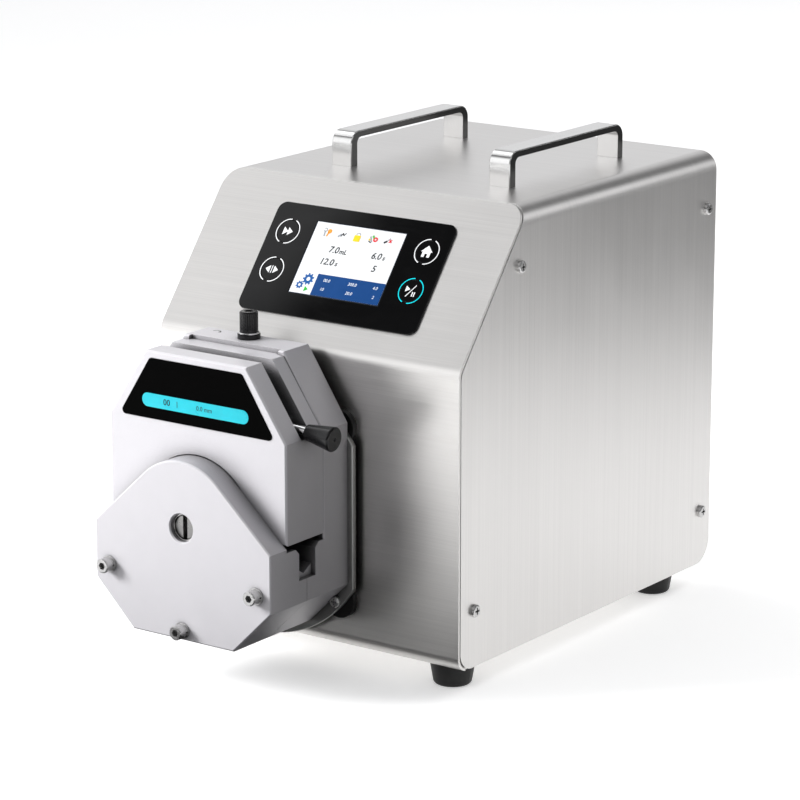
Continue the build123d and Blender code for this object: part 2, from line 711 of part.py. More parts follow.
def make_lever_grip():
    """Tapered grip on the end of the rod."""
    top = GRIP_START + GRIP_LEN
    grip = Pos(0, 0, GRIP_START + GRIP_LEN / 2) * Cone(4.8, 7.6, GRIP_LEN)
    grip = fillet(grip.edges().sort_by(Axis.Z)[-1], 1.2)
    grip -= Pos(0, 0, top) * Cone(0.2, 2.2, 3)
    grip -= Pos(0, 0, GRIP_START + 4) * Cylinder(ROD_R + FIT, 14.01)
    return along_lever(grip)


# ---- pump head: adjusting knob ----

def make_knob():
    """Knurled knob standing on the rear housing."""
    base = REAR_TOP_Z + 0.2
    knob = rod_z(0, KNOB_Y, 6.85, base, base + 2.6)
    knob += rod_z(0, KNOB_Y, 5.0, base + 2, base + 4)
    grip = rod_z(0, KNOB_Y, 5.5, base + 3.8, base + 16.2)
    grip = chamfer(grip.edges().sort_by(Axis.Z)[-1], 0.7)
    count = 24
    groove = Pos(5.6, 0, base + 10.5) * Rot(0, 0, 45) * Box(0.6, 0.6, 10)
    for i in range(count):
        grip -= Pos(0, KNOB_Y, 0) * Rot(0, 0, 360 / count * i) * groove
    knob += grip
    knob -= rod_z(0, KNOB_Y, 2.6, base + 15, base + 17)
    return knob - rod_z(0, KNOB_Y, 2.5 + FIT, base - 1, base + 9)


def make_knob_screw():
    """Spindle under the knob."""
    spindle = rod_z(0, KNOB_Y, 3.0, 167, REAR_TOP_Z)
    return spindle + rod_z(0, KNOB_Y, 2.5, REAR_TOP_Z, REAR_TOP_Z + 9)


# ---- rotor ----

def roller_places():
    places = []
    for i in range(ROLLERS):
        turn = radians(90 + 360 / ROLLERS * i)
        places.append((ORBIT_R * cos(turn), AXIS_Z + ORBIT_R * sin(turn)))
    return places


def make_rotor_disc(y):
    disc = rod_y(0, AXIS_Z, DISC_R, y, y + DISC_T)
    disc = chamfer(disc.edges().filter_by(GeomType.CIRCLE), 0.6)
    disc -= rod_y(0, AXIS_Z, SHAFT_R + FIT, y - 1, y + DISC_T + 1)
    for x, z in roller_places():
        disc -= rod_y(x, z, ROLLER_PIN_R + FIT, y - 1, y + DISC_T + 1)
    return disc


def make_rotor_hub():
    hub_y = (DISC_Y[0] + DISC_T + 0.05, DISC_Y[1] - 0.05)
    return rod_y(0, AXIS_Z, HUB_R, *hub_y) - rod_y(0, AXIS_Z, SHAFT_R + FIT, -80, -20)


def make_roller_pins():
    return group([rod_y(x, z, ROLLER_PIN_R, DISC_Y[0], DISC_Y[1] + DISC_T) for x, z in roller_places()])


def make_roller(place):
    x, z = place
    roller = rod_y(x, z, ROLLER_R, *ROLLER_Y)
    roller = fillet(roller.edges().filter_by(GeomType.CIRCLE), 1.0)
    return roller - rod_y(x, z, ROLLER_PIN_R + RUN, -80, -20)


def make_drive_shaft():
    """Rotor shaft, slotted at both ends."""
    shaft = rod_y(0, AXIS_Z, SHAFT_R, -77.5, -2)
    shaft = chamfer(shaft.edges().filter_by(GeomType.CIRCLE), 0.6)
    shaft -= box((-2.1, 2.1), (-7, 0), (AXIS_Z - 9, AXIS_Z + 9))
    shaft -= box((-1.6, 1.6), (-79, -73.5), (AXIS_Z - 9, AXIS_Z + 9))
    return shaft


def make_motor_shaft():
    """Motor output shaft with a tongue that drives the rotor shaft."""
    shaft = rod_y(0, AXIS_Z, 7.0, -1.8, 18)
    return shaft + box((-2.0, 2.0), (-6.8, -1.7), (AXIS_Z - 6.5, AXIS_Z + 6.5))


# ---- inside the casing ----

def make_motor_bracket():
    bracket = box((-64, 64), (1.8, 5.8), (AXIS_Z - 60, AXIS_Z + 60))
    bracket = fillet(bracket.edges().filter_by(Axis.Y), 6)
    bracket -= rod_y(0, AXIS_Z, 37, 0, 10)
    for x, z in mount_points():
        bracket -= rod_y(x, z, 2.05, 0, 10)
    for x, z in motor_points():
        bracket -= rod_y(x, z, 2.8, 0, 10)
    return bracket


def motor_points():
    return [(sx * 34.8, AXIS_Z + sz * 34.8) for sx in (-1, 1) for sz in (-1, 1)]


def make_motor():
    """Stepper motor with its square flange and pilot boss."""
    flange = box((-43, 43), (6, 14), (AXIS_Z - 43, AXIS_Z + 43))
    flange = chamfer(flange.edges().filter_by(Axis.Y), 5)
    can = box((-43, 43), (14, 106), (AXIS_Z - 43, AXIS_Z + 43))
    can = chamfer(can.edges().filter_by(Axis.Y), 24)
    motor = flange + can + rod_y(0, AXIS_Z, 36.5, 3.9, 6.5)
    motor -= rod_y(0, AXIS_Z, 7.0 + RUN, 0, 19)
    for x, z in motor_points():
        motor -= rod_y(x, z, 2.8, 0, 14.1)
    return motor


def make_motor_bolts():
    bolts = []
    for x, z in motor_points():
        bolts.append(rod_y(x, z, 2.4, 2.5, 18) + rod_y(x, z, 4.4, 14.2, 18.2))
    return group(bolts)


def make_power_supply():
    """Enclosed power supply on the base."""
    body = box((25, 95), (120, 250), (SHEET + 6, SHEET + 46))
    body = chamfer(body.edges().filter_by(Axis.Y), 1)
    feet = []
    for x in (35, 85):
        for y in (130, 240):
            feet.append(rod_z(x, y, 4, SHEET, SHEET + 6))
    for foot in feet:
        body += foot
    return body


def make_control_board():
    """Main board on spacers over the base, with its larger components."""
    board = box((-95, 5), (130, 240), (22, 23.6))
    components = (
        (-75, 150, 24, 24, 4),
        (-35, 160, 18, 18, 18),
        (-70, 215, 30, 14, 14),
        (-20, 215, 16, 24, 22),
    )
    for x, y, w, d, h in components:
        board += box((x - w / 2, x + w / 2), (y - d / 2, y + d / 2), (23.5, 23.6 + h))
    for x in (-90, 0):
        for y in (135, 235):
            board += rod_z(x, y, 3.5, SHEET, 22.1)
    return board


# ---- rear fittings ----

def make_power_inlet():
    """Panel inlet for a mains lead, with three blades in its recess."""
    x, z = INLET_AT
    body = box((x - 13.5, x + 13.5), (CASE_D - 22, CASE_D + 0.1), (z - 10, z + 10))
    flange = box((x - 24, x + 24), (CASE_D, CASE_D + 2.5), (z - 12, z + 12))
    flange = fillet(flange.edges().filter_by(Axis.Y), 6)
    inlet = body + flange
    recess = box((x - 12.1, x + 12.1), (CASE_D - 17, CASE_D + 5), (z - 8.6, z + 8.6))
    recess = chamfer(recess.edges().filter_by(Axis.Y).sort_by(Axis.Z)[-2:], 4.5)
    inlet -= recess
    for dx, dz in ((-7, -2), (7, -2), (0, 2.4)):
        inlet += box((x + dx - 1, x + dx + 1), (CASE_D - 18, CASE_D - 3), (z + dz - 2, z + dz + 2))
    for side in (-1, 1):
        inlet -= rod_y(x + side * INLET_SCREW_X, z, 1.7, CASE_D - 1, CASE_D + 4)
    return inlet


def make_inlet_screws():
    x, z = INLET_AT
    screw = Rot(-90, 0, 0) * pan_screw(2.9, 1.8, 1.5, 8)
    return group([Pos(x + side * INLET_SCREW_X, CASE_D + 2.5, z) * screw for side in (-1, 1)])


def make_switch_frame():
    """Frame of the mains switch."""
    x, z = SWITCH_AT
    frame = box((x - 15.5, x + 15.5), (CASE_D, CASE_D + 2), (z - 11.5, z + 11.5))
    frame = fillet(frame.edges().filter_by(Axis.Y), 2)
    frame += box((x - 13.5, x + 13.5), (CASE_D - 20, CASE_D + 0.1), (z - 9.5, z + 9.5))
    frame -= box((x - 11, x + 11), (CASE_D - 12, CASE_D + 5), (z - 6.5, z + 6.5))
    return frame - rod_z(x, ROCKER_Y, 1.2 + RUN, z - 8.2, z + 8.2)


def make_rocker():
    """Rocker of the mains switch on its upright pivot."""
    x, z = SWITCH_AT
    face = polygon([(-9.8, -3.0), (9.8, -3.0), (10.2, 5.2), (0, 4.6), (-10.2, 5.2)])
    rocker = extrude(face, amount=5.9, both=True) + Cylinder(1.2, 16)
    return Pos(x, ROCKER_Y, z) * Rot(0, 0, ROCKER_REST) * rocker


def make_connector():
    """D-shaped signal connector with its jack screws."""
    x, z = CONNECTOR_AT
    plate = box((x - 19.5, x + 19.5), (CASE_D, CASE_D + 1), (z - 6.2, z + 6.2))
    plate = fillet(plate.edges().filter_by(Axis.Y), 1.5)
    nose = polygon([(x - 12.2, z + 4.6), (x + 12.2, z + 4.6), (x + 10.6, z - 4.6), (x - 10.6, z - 4.6)])
    nose = fillet(nose.vertices(), 1.6)
    shell = plate + prism_y(nose, CASE_D - 10, CASE_D + REAR_REACH)
    for row, count in ((1.4, 8), (-1.4, 7)):
        for i in range(count):
            pin_x = x + (i - (count - 1) / 2) * 2.76
            shell -= rod_y(pin_x, z + row, 0.6, CASE_D + 2, CASE_D + REAR_REACH + 1)
    for dx in (-16.6, 16.6):
        shell += rod_y(x + dx, z, 2.6, CASE_D, CASE_D + 5.5) - rod_y(x + dx, z, 1.2, CASE_D + 2, CASE_D + 6)
    return shell


# ---- assembly ----

def ship(name, shape):
    """Move a finished piece to the stored frame and write it."""
    shape = Pos(0, -MID_Y, FOOT_H) * shape
    shape.label = name
    export_step(shape, f"parts/{name}.step")


def casing_parts():
    parts = {
        "front_panel": make_front_panel(),
        "top_cover": make_cover(),
        "rear_panel": make_rear_panel(),
        "feet": make_feet(),
        "foot_screws": make_foot_screws(),
        "cover_screws": make_cover_screws(),
        "left_handle": make_handle(-1),
        "right_handle": make_handle(1),
        "handle_screws": make_handle_screws(),
        "display_panel": make_display_panel(),
        "lcd_screen": make_lcd(),
        "display_board": make_display_board(),
        "display_studs": make_display_studs(),
        "power_supply": make_power_supply(),
        "control_board": make_control_board(),
        "power_inlet": make_power_inlet(),
        "inlet_screws": make_inlet_screws(),
        "switch_frame": make_switch_frame(),
        "switch_rocker": make_rocker(),
        "signal_connector": make_connector(),
    }
    for name, (x, up) in key_points().items():
        parts[name] = make_key(x, up)
    return parts


def head_parts():
    parts = {
        "front_housing": make_front_housing(),
        "rear_housing": make_rear_housing(),
        "press_block": make_press_block(),
        "label_plate": make_label(),
        "label_stripe": make_label_stripe(),
        "cam_shaft": make_cam_shaft(),
        "lever_arm": make_lever_arm(),
        "lever_grip": make_lever_grip(),
        "adjusting_knob": make_knob(),
        "knob_spindle": make_knob_screw(),
        "guide_posts": make_guide_posts(),
        "tube_rests": make_tube_rests(),
        "cap_screws": make_cap_screws(),
        "cap_washers": make_washers(),
        "mounting_flange": make_mounting_plate(),
        "isolators": make_isolators(),
        "mount_screws": make_mount_screws(),
        "flange_screws": make_flange_screws(),
        "bearing_outer_rings": bearing_rings(False),
        "bearing_inner_rings": bearing_rings(True),
        "rotor_front_disc": make_rotor_disc(DISC_Y[0]),
        "rotor_rear_disc": make_rotor_disc(DISC_Y[1]),
        "rotor_hub": make_rotor_hub(),
        "roller_pins": make_roller_pins(),
        "drive_shaft": make_drive_shaft(),
        "motor_shaft": make_motor_shaft(),
        "motor_bracket": make_motor_bracket(),
        "drive_motor": make_motor(),
        "motor_bolts": make_motor_bolts(),
    }
    for number, place in enumerate(roller_places(), start=1):
        parts[f"roller_{number}"] = make_roller(place)
    return {name: Pos(HEAD_X, 0, 0) * shape for name, shape in parts.items()}


for part_name, part_shape in {**casing_parts(), **head_parts()}.items():
    ship(part_name, part_shape)
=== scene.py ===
from math import cos, pi, radians, sin, tau

import bmesh
import bpy
from mathutils import Matrix, Vector


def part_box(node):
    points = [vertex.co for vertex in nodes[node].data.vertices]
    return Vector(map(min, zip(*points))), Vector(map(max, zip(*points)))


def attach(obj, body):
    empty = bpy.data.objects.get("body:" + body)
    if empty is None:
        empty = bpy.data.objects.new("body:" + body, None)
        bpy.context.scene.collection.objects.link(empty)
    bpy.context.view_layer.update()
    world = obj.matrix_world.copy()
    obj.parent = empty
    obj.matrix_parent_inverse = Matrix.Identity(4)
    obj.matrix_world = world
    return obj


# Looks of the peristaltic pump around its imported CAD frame, in metres. The front faces -Y.

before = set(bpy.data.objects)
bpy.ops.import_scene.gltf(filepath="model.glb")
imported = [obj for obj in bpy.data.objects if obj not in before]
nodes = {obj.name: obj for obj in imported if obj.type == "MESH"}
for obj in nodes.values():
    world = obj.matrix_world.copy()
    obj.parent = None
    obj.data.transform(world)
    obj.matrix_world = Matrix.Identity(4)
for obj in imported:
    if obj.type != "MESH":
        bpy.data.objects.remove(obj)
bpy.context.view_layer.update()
MM = 0.001
PRINT = 0.04 * MM                            # thickness of one layer of printed ink

ACROSS = Vector((1, 0, 0))
BACK = Vector((0, 1, 0))
Z_UP = Vector((0, 0, 1))
SLOPE = radians(38.27)                       # lean of the sloping face, back from upright
SLOPE_UP = Vector((0, sin(SLOPE), cos(SLOPE)))
SLOPE_OUT = Vector((0, -cos(SLOPE), sin(SLOPE)))


# ---- node materials ----

# Cosine between the true normal and one rounded over the edge's radius, where the painted edge highlight is
# full and where it is gone.
ON_EDGE = 0.75
ON_FLAT = 0.995


class Surface:
    """A principled material that gathers its colour, roughness and relief, and links them when done."""

    def __init__(self, name, color, metallic, rough):
        self.material = bpy.data.materials.new(name)
        self.material.use_nodes = True
        self.tree = self.material.node_tree
        self.shader = self.tree.nodes["Principled BSDF"]
        self.set("Metallic", metallic)
        self.set("Roughness", rough)
        self.color = color
        self.rough = rough
        self.coords = self.node("ShaderNodeTexCoord").outputs["Object"]
        self.tint = None
        self.gloss = None
        self.height = None
        self.rounded = None

    def node(self, kind, **settings):
        made = self.tree.nodes.new(kind)
        for key, value in settings.items():
            setattr(made, key, value)
        return made

    def link(self, a, b):
        self.tree.links.new(a, b)

    def set(self, name, value):
        self.shader.inputs[name].default_value = value

    def math(self, operation, a, b, clamp=False):
        made = self.node("ShaderNodeMath", operation=operation, use_clamp=clamp)
        for socket, value in zip(made.inputs, (a, b)):
            if hasattr(value, "is_linked"):
                self.link(value, socket)
            else:
                socket.default_value = value
        return made.outputs[0]

    def scaled_coords(self, scale):
        """Object coordinates in cells. scale is in cells per metre, one number or one for each axis."""
        mapping = self.node("ShaderNodeMapping")
        mapping.inputs["Scale"].default_value = scale if hasattr(scale, "__len__") else (scale,) * 3
        self.link(self.coords, mapping.inputs["Vector"])
        return mapping.outputs["Vector"]

    def noise(self, scale, detail=3.0, rough=0.55, distort=0.0):
        """Noise from 0 to 1."""
        made = self.node("ShaderNodeTexNoise")
        made.inputs["Scale"].default_value = 1.0
        made.inputs["Detail"].default_value = detail
        made.inputs["Roughness"].default_value = rough
        made.inputs["Distortion"].default_value = distort
        self.link(self.scaled_coords(scale), made.inputs["Vector"])
        return made.outputs["Fac"]

    def cells(self, scale):
        """Distance from the middle of each cell."""
        made = self.node("ShaderNodeTexVoronoi")
        made.inputs["Scale"].default_value = 1.0
        self.link(self.scaled_coords(scale), made.inputs["Vector"])
        return made.outputs["Distance"]

    def spread(self, value, low, high, at=(0.3, 0.7)):
        """Map value from the range at to low..high."""
        made = self.node("ShaderNodeMapRange")
        made.inputs["From Min"].default_value = at[0]
        made.inputs["From Max"].default_value = at[1]
        made.inputs["To Min"].default_value = low
        made.inputs["To Max"].default_value = high
        self.link(value, made.inputs["Value"])
        return made.outputs["Result"]

    def shade(self, value, low, high, at=(0.3, 0.7)):
        """Multiply the colour by low..high where value runs over the range at."""
        factor = self.spread(value, low, high, at)
        self.tint = factor if self.tint is None else self.math("MULTIPLY", self.tint, factor)

    def roughen(self, value, low, high, at=(0.3, 0.7)):
        """Add low..high to the roughness where value runs over the range at."""
        change = self.spread(value, low, high, at)
        self.gloss = change if self.gloss is None else self.math("ADD", self.gloss, change)

    def emboss(self, value, amount):
        """Add amount, in metres, times value to the surface's height."""
        part = self.math("MULTIPLY", value, amount)
        self.height = part if self.height is None else self.math("ADD", self.height, part)

    def round_edges_with_painted_highlight(self, radius, gain):
        """Round sharp edges over a radius, and brighten them up to gain times as a painted highlight along
        the edges.
        """
        bevel = self.node("ShaderNodeBevel", samples=4)
        bevel.inputs["Radius"].default_value = radius
        self.rounded = bevel.outputs["Normal"]
        true_normal = self.node("ShaderNodeNewGeometry").outputs["Normal"]
        dot = self.node("ShaderNodeVectorMath", operation="DOT_PRODUCT")
        self.link(self.rounded, dot.inputs[0])
        self.link(true_normal, dot.inputs[1])
        self.shade(dot.outputs["Value"], gain, 1.0, (ON_EDGE, ON_FLAT))

    def paint_hollow_shade(self, distance, share, at):
        """Paint shade into holes, slots and corners, down to share, where openness within a distance runs
        over the range at.
        """
        made = self.node("ShaderNodeAmbientOcclusion", samples=6)
        made.inputs["Distance"].default_value = distance
        self.shade(made.outputs["AO"], share, 1.0, at)

    def darken_x_faces(self, share, at):
        """Darken the faces that look along the object's X, down to share, over a range of their cosine."""
        parts = self.node("ShaderNodeSeparateXYZ")
        self.link(self.node("ShaderNodeTexCoord").outputs["Normal"], parts.inputs[0])
        self.shade(self.math("ABSOLUTE", parts.outputs["X"], 0.0), 1.0, share, at)

    def grain(self, tangent, amount):
        """Draw highlights out across the brushing, by a tangent that also lies across it."""
        self.set("Anisotropic", amount)
        vector = self.node("ShaderNodeCombineXYZ")
        for socket, value in zip(vector.inputs, tangent):
            socket.default_value = value
        self.link(vector.outputs["Vector"], self.shader.inputs["Tangent"])

    def done(self):
        base = self.node("ShaderNodeRGB")
        base.outputs[0].default_value = (*self.color, 1)
        scaled = self.node("ShaderNodeVectorMath", operation="SCALE")
        self.link(base.outputs[0], scaled.inputs[0])
        self.link(self.tint, scaled.inputs["Scale"])
        self.link(scaled.outputs["Vector"], self.shader.inputs["Base Color"])
        if self.gloss is not None:
            total = self.math("ADD", self.gloss, self.rough, clamp=True)
            self.link(total, self.shader.inputs["Roughness"])
        if self.height is not None:
            bump = self.node("ShaderNodeBump")
            bump.inputs["Strength"].default_value = 1.0
            bump.inputs["Distance"].default_value = 1.0
            self.link(self.height, bump.inputs["Height"])
            if self.rounded is not None:
                self.link(self.rounded, bump.inputs["Normal"])
            self.link(bump.outputs["Normal"], self.shader.inputs["Normal"])
        return self.material


# Tangents for brushing along X and along Y, tipped a little so that no face lies square to them.
BRUSH_TANGENTS = [(0.02, 0.05, 1.0), (0.05, 0.02, 1.0)]


def stretched(across, along, axes):
    """Cells per metre for each axis: along on the given axes and across on the others."""
    return [along if axis in axes else across for axis in range(3)]


def brushed(name, color, rough, along, aniso, line=1.2e-6, x_face_share=1.0, folded=False):
    """Brushed stainless steel with brush lines of height line along axis 0 or 1, and painted highlights on
    its edges.
    A share below 1 darkens the faces that look along X down to it. folded runs the lines up the sides and
    over the top instead."""
    s = Surface(name, color, 1.0, rough)
    if folded:
        lines = s.noise(stretched(1500.0, 7.0, (0, 2)), 3.0, 0.5)
        bands = s.noise(stretched(260.0, 3.0, (0, 2)), 3.0, 0.6)
    else:
        lines = s.noise(stretched(2600.0, 9.0, (along,)), 3.0, 0.5)
        bands = s.noise(stretched(420.0, 4.0, (along,)), 3.0, 0.6)
    smudge = s.noise(9.0, 3.0, 0.6, 0.4)
    s.shade(lines, 0.96, 1.03)
    s.shade(bands, 0.98, 1.015)
    s.shade(smudge, 0.98, 1.015)
    s.roughen(lines, -0.03, 0.04)
    s.roughen(smudge, -0.015, 0.03)
    s.emboss(lines, line)
    s.round_edges_with_painted_highlight(0.5 * MM, 1.5)
    if x_face_share < 1:
        s.darken_x_faces(x_face_share, (0.7, 0.95))
    s.grain(BRUSH_TANGENTS[along], aniso)
    return s.done()


def cast_metal(name, color, metallic=0.2, rough=0.4):
    """Blasted and anodised metal with a fine tooth, painted shade in its hollows and slots and on the faces
    that look along X, and painted highlights on its edges.
    """
    s = Surface(name, color, metallic, rough)
    tooth = s.noise(2600.0, 2.0, 0.6)
    cloud = s.noise(30.0, 4.0, 0.6)
    s.shade(tooth, 0.97, 1.03)
    s.shade(cloud, 0.975, 1.025)
    s.roughen(cloud, -0.04, 0.05)
    s.roughen(tooth, -0.03, 0.03)
    s.emboss(tooth, 9e-6)
    s.paint_hollow_shade(30 * MM, 0.03, (0.28, 0.82))
    s.round_edges_with_painted_highlight(0.5 * MM, 1.3)
    # painted shade: the faces that look along X are made darker
    s.darken_x_faces(0.8, (0.97, 0.995))
    return s.done()


def turned(name, color, rough, grooves=9e-6):
    """Turned or ground steel, with painted shade in its holes and painted highlights on its edges."""
    s = Surface(name, color, 1.0, rough)
    rings = s.noise((300.0, 3500.0, 300.0), 3.0)
    stain = s.noise(120.0, 4.0)
    s.shade(rings, 0.92, 1.05)
    s.shade(stain, 0.92, 1.04)
    s.roughen(stain, -0.05, 0.12)
    s.emboss(rings, grooves)
    s.paint_hollow_shade(5 * MM, 0.15, (0.08, 0.42))
    s.round_edges_with_painted_highlight(0.25 * MM, 1.3)
    return s.done()


def moulded(name, color, rough, tooth=14e-6, size=1400.0):
    """Moulded plastic with a fine spark-eroded texture and painted highlights on its edges."""
    s = Surface(name, color, 0.0, rough)
    grit = s.noise(size, 3.0)
    cloud = s.noise(60.0, 4.0)
    s.shade(grit, 0.86, 1.14)
    s.shade(cloud, 0.9, 1.1)
    s.roughen(cloud, -0.06, 0.08)
    s.roughen(grit, -0.04, 0.04)
    s.emboss(grit, tooth)
    s.round_edges_with_painted_highlight(0.35 * MM, 1.9)
    s.set("Specular IOR Level", 0.4)
    return s.done()


def lacquer(name, color, rough, shine=0.5):
    """Overlay film with faint orange peel, rubbed patches and painted highlights on its edges."""
    s = Surface(name, color, 0.0, rough)
    peel = s.noise(420.0, 2.0)
    wipe = s.noise((26.0, 60.0, 60.0), 4.0, 0.65, 0.8)
    s.shade(wipe, 0.85, 1.25)
    s.shade(peel, 0.95, 1.05)
    s.roughen(wipe, -0.02, 0.04)
    s.emboss(peel, 5e-7)
    s.round_edges_with_painted_highlight(0.3 * MM, 2.5)
    s.set("Specular IOR Level", shine)
    return s.done()


def ink(name, color, glow=0.0, rough=0.35):
    """Printed ink, or a patch of lit screen, with a fine grain. glow is the screen's own light on screen
    patches, and a painted glow on printed ink.
    """
    s = Surface(name, color, 0.0, rough)
    dots = s.noise(3800.0, 1.0)
    wash = s.noise(90.0, 3.0)
    s.shade(dots, 0.96, 1.04)
    s.shade(wash, 0.95, 1.05)
    s.roughen(wash, -0.04, 0.06)
    s.emboss(dots, 1e-6)
    s.set("Specular IOR Level", 0.2)
    if glow:
        s.set("Emission Color", (*color, 1))
        s.set("Emission Strength", glow)
        s.set("Coat Weight", 0.5)
        s.set("Coat Roughness", 0.04)
    return s.done()


def board_green(name):
    """Circuit board with traces."""
    s = Surface(name, (0.02, 0.14, 0.05), 0.0, 0.4)
    traces = s.cells(300.0)
    s.shade(traces, 0.7, 1.5, (0.1, 0.6))
    s.roughen(traces, -0.1, 0.1, (0.1, 0.6))
    s.emboss(traces, 2e-5)
    return s.done()


looks = {
    "front_sheet": brushed("front_sheet", (0.80, 0.785, 0.765), 0.35, along=0, aniso=0.55, line=0.7e-6),
    "cover_sheet": brushed("cover_sheet", (0.80, 0.785, 0.77), 0.32, along=1, aniso=0.5, line=0.25e-6,
                           folded=True),
    "bar_steel": brushed("bar_steel", (0.78, 0.775, 0.765), 0.13, along=1, aniso=0.4, line=0.6e-6, x_face_share=0.12),
    "screw_steel": turned("screw_steel", (0.64, 0.635, 0.63), 0.24),
    "head_metal": cast_metal("head_metal", (0.74, 0.725, 0.755)),
    "block_metal": cast_metal("block_metal", (0.75, 0.735, 0.765)),
    "flange_metal": cast_metal("flange_metal", (0.55, 0.55, 0.54), metallic=0.7, rough=0.35),
    "ground_steel": turned("ground_steel", (0.72, 0.71, 0.70), 0.14),
    # painted shade: the drive shaft's steel is darkened for the shade deep in its hole
    "shaft_steel_painted_shade": turned("shaft_steel_painted_shade", (0.30, 0.295, 0.29), 0.28),
    "bright_rod": turned("bright_rod", (0.82, 0.82, 0.82), 0.07, grooves=2e-6),
    "overlay": lacquer("overlay", (0.0018, 0.0018, 0.002), 0.03, shine=0.31),
    "key_film": lacquer("key_film", (0.0018, 0.0018, 0.002), 0.04, shine=0.31),
    "label_film": lacquer("label_film", (0.0006, 0.0006, 0.0006), 0.3, shine=0.015),
    "screen_base": lacquer("screen_base", (0.02, 0.03, 0.05), 0.05),
    # painted glow: the printed cyan stripe is given a little glow of its own
    "stripe_ink_painted_glow": ink("stripe_ink_painted_glow", (0.0, 0.58, 0.70), glow=0.05, rough=0.3),
    "foot_rubber": moulded("foot_rubber", (0.004, 0.004, 0.004), 0.5, tooth=2.5e-5, size=1100.0),
    "black_plastic": moulded("black_plastic", (0.0035, 0.0035, 0.004), 0.24, tooth=5e-6),
    "acetal": moulded("acetal", (0.78, 0.78, 0.75), 0.3, tooth=5e-6),
    "board": board_green("board"),
    "motor_paint": moulded("motor_paint", (0.02, 0.02, 0.022), 0.4),
    "plated": brushed("plated", (0.62, 0.63, 0.64), 0.32, along=0, aniso=0.3),
}

LOOK_OF = {
    "front_sheet": ["front_panel"],
    "cover_sheet": ["top_cover", "rear_panel"],
    "bar_steel": ["left_handle", "right_handle"],
    "screw_steel": ["foot_screws", "cover_screws", "handle_screws", "inlet_screws", "cap_screws",
                    "cap_washers", "mount_screws", "flange_screws", "motor_bolts"],
    "head_metal": ["front_housing", "rear_housing", "tube_rests"],
    "block_metal": ["press_block"],
    "flange_metal": ["mounting_flange", "motor_bracket"],
    "shaft_steel_painted_shade": ["drive_shaft"],
    "ground_steel": ["guide_posts", "roller_pins", "motor_shaft", "bearing_inner_rings",
                     "bearing_outer_rings", "cam_shaft", "rotor_hub", "rotor_front_disc",
                     "rotor_rear_disc", "knob_spindle", "display_studs"],
    "bright_rod": ["lever_arm"],
    "overlay": ["display_panel"],
    "key_film": ["key_fast", "key_direction", "key_home", "key_start"],
    "label_film": ["label_plate"],
    "screen_base": ["lcd_screen"],
    "stripe_ink_painted_glow": ["label_stripe"],
    "foot_rubber": ["feet", "isolators"],
    "black_plastic": ["lever_grip", "adjusting_knob", "power_inlet", "switch_frame", "switch_rocker"],
    "acetal": ["roller_1", "roller_2", "roller_3"],
    "board": ["display_board", "control_board"],
    "motor_paint": ["drive_motor"],
    "plated": ["power_supply", "signal_connector"],
}

for look, members in LOOK_OF.items():
    for member in members:
        data = nodes[member].data
        data.materials.clear()
        data.materials.append(looks[look])


# ---- flat shapes: outlines in millimetres, x to the right and y upwards ----

DISC_STEPS = 28
# One tooth of a gear: share of the pitch, share of the radius.
TOOTH = ((0.0, 0.76), (0.22, 0.76), (0.32, 1.0), (0.68, 1.0), (0.78, 0.76))


def arc(cx, cy, r, start, end, steps=24):
    turns = [radians(start + (end - start) * i / steps) for i in range(steps + 1)]
    return [(cx + r * cos(t), cy + r * sin(t)) for t in turns]


def ring_part(cx, cy, r_in, r_out, start, end):
    return arc(cx, cy, r_out, start, end) + arc(cx, cy, r_in, end, start)


def disc(cx, cy, r):
    return arc(cx, cy, r, 0, 360 - 360 / DISC_STEPS, DISC_STEPS - 1)


def triangle(cx, cy, w, h, way=1):
    """Arrow head pointing right, or left with way -1."""
    return [(cx - way * w / 2, cy - h / 2), (cx + way * w / 2, cy), (cx - way * w / 2, cy + h / 2)]


def bar(x0, y0, x1, y1, w):
    """Straight stroke of width w."""
    length = Vector((x1 - x0, y1 - y0)).length
    nx = -(y1 - y0) / length * w / 2
    ny = (x1 - x0) / length * w / 2
    return [(x0 + nx, y0 + ny), (x0 - nx, y0 - ny), (x1 - nx, y1 - ny), (x1 + nx, y1 + ny)]


def rectangle(cx, cy, w, h):
    left, right = cx - w / 2, cx + w / 2
    low, high = cy - h / 2, cy + h / 2
    return [(left, low), (right, low), (right, high), (left, high)]


def rounded(cx, cy, w, h, r):
    """Rectangle with rounded corners."""
    points = []
    for sx, sy, start in ((1, 1, 0), (-1, 1, 90), (-1, -1, 180), (1, -1, 270)):
        points += arc(cx + sx * (w / 2 - r), cy + sy * (h / 2 - r), r, start, start + 90, 6)
    return points


def gear(cx, cy, r, teeth):
    points = []
    for i in range(teeth):
        for part, reach in TOOTH:
            turn = tau * (i + part) / teeth
            points.append((cx + r * reach * cos(turn), cy + r * reach * sin(turn)))
    return points


# ---- drawing planes ----

def plane_at(origin, across, up):
    """Matrix of a drawing plane whose third axis points out of the surface."""
    out = across.cross(up)
    matrix = Matrix((across, up, out)).transposed().to_4x4()
    matrix.translation = origin
    return matrix


def slope_plane(node):
    """Drawing plane on the outer side of a node on the sloping face, centred on it."""
    points = [v.co for v in nodes[node].data.vertices]
    heights = [p.dot(SLOPE_OUT) for p in points]
    reaches = [p.dot(SLOPE_UP) for p in points]
    xs = [p.x for p in points]
    middle = ACROSS * (min(xs) + max(xs)) / 2 + SLOPE_UP * (min(reaches) + max(reaches)) / 2
    return plane_at(middle + SLOPE_OUT * max(heights), ACROSS, SLOPE_UP)


def front_plane(node):
    """Drawing plane on the front of a node that faces -Y, centred on it."""
    near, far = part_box(node)
    return plane_at(Vector(((near.x + far.x) / 2, near.y, (near.z + far.z) / 2)), ACROSS, Z_UP)


# ---- making pieces ----

